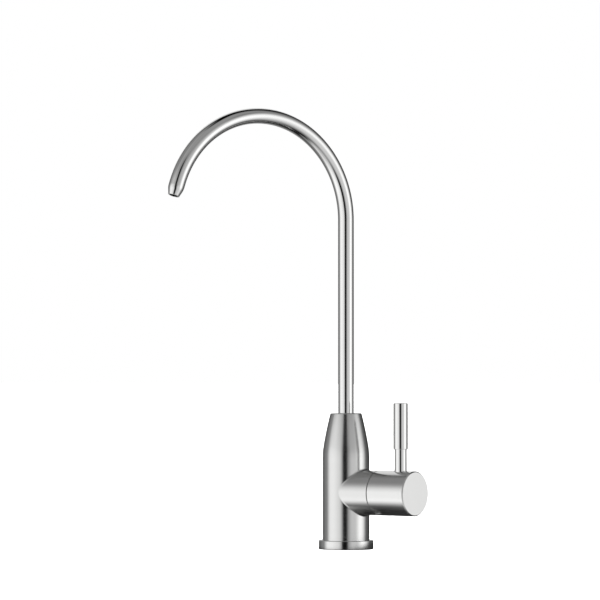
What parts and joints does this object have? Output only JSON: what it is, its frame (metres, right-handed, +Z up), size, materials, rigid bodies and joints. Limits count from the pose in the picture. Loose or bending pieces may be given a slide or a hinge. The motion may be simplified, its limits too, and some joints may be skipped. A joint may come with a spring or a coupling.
{
  "type": "drinking water filter tap",
  "caption": "Worktop drinking water tap: bottle-shaped body, side lever on a ceramic valve, tall swivelling gooseneck spout, and a threaded shank clamped by washers and nut.",
  "frame": {"origin": "middle of the base ring's underside, on the worktop", "axes": "+Z up along the tap's axis, +X along the valve's axis towards the handle; at rest the spout points about 20 degrees from -Y towards -X"},
  "size_m": [0.1216, 0.1689, 0.3953],
  "materials": {
    "body_steel": "brushed stainless steel",
    "ring_steel": "finely brushed stainless steel",
    "handle_steel": "brushed stainless steel",
    "lever_steel": "polished stainless steel",
    "tube_steel": "finely brushed stainless steel",
    "socket_steel": "turned stainless steel",
    "washer_steel": "plain stainless steel",
    "spring_steel": "dark spring steel",
    "screw_steel": "plain stainless steel",
    "shank_brass": "bare machined brass",
    "valve_brass": "bare machined brass",
    "black_rubber": "matt black rubber",
    "red_fibre": "red fibre",
    "white_plastic": "natural white plastic",
    "white_ceramic": "lapped ceramic"
  },
  "bodies": {
    "tap_body": {"body": "body_steel", "base_ring": "ring_steel", "base_gasket": "black_rubber", "shank": "shank_brass", "shank_seal": "black_rubber", "seat_seal": "black_rubber", "fixed_disc": "white_ceramic", "valve_housing": "valve_brass", "housing_gasket": "red_fibre", "thrust_washer": "white_plastic", "glide_washer": "white_plastic"},
    "handle_set": {"handle": "handle_steel", "lever": "lever_steel", "handle_grub_screw": "screw_steel", "spindle": "valve_brass", "inner_spindle_o_ring": "black_rubber", "outer_spindle_o_ring": "black_rubber", "spindle_clip": "spring_steel", "turning_disc": "white_ceramic"},
    "spout_set": {"spout_tube": "tube_steel", "spout_socket": "socket_steel", "lower_spout_o_ring": "black_rubber", "upper_spout_o_ring": "black_rubber", "snap_ring": "spring_steel"},
    "clamp_set": {"rubber_washer": "black_rubber", "steel_washer": "washer_steel", "mounting_nut": "shank_brass"}
  },
  "joints": [
    {"name": "handle_turn", "type": "hinge", "parent": "tap_body", "child": "handle_set", "pos_m": [0.032, 0, 0.0433], "axis": [1, 0, 0], "range_deg": [0, 90]},
    {"name": "spout_swivel", "type": "hinge", "parent": "tap_body", "child": "spout_set", "pos_m": [0, 0, 0], "axis": [0, 0, 1], "continuous": true},
    {"name": "nut_travel", "type": "slide", "parent": "tap_body", "child": "clamp_set", "axis": [0, 0, 1], "range_m": [-0.0145, 0.017]}
  ]
}
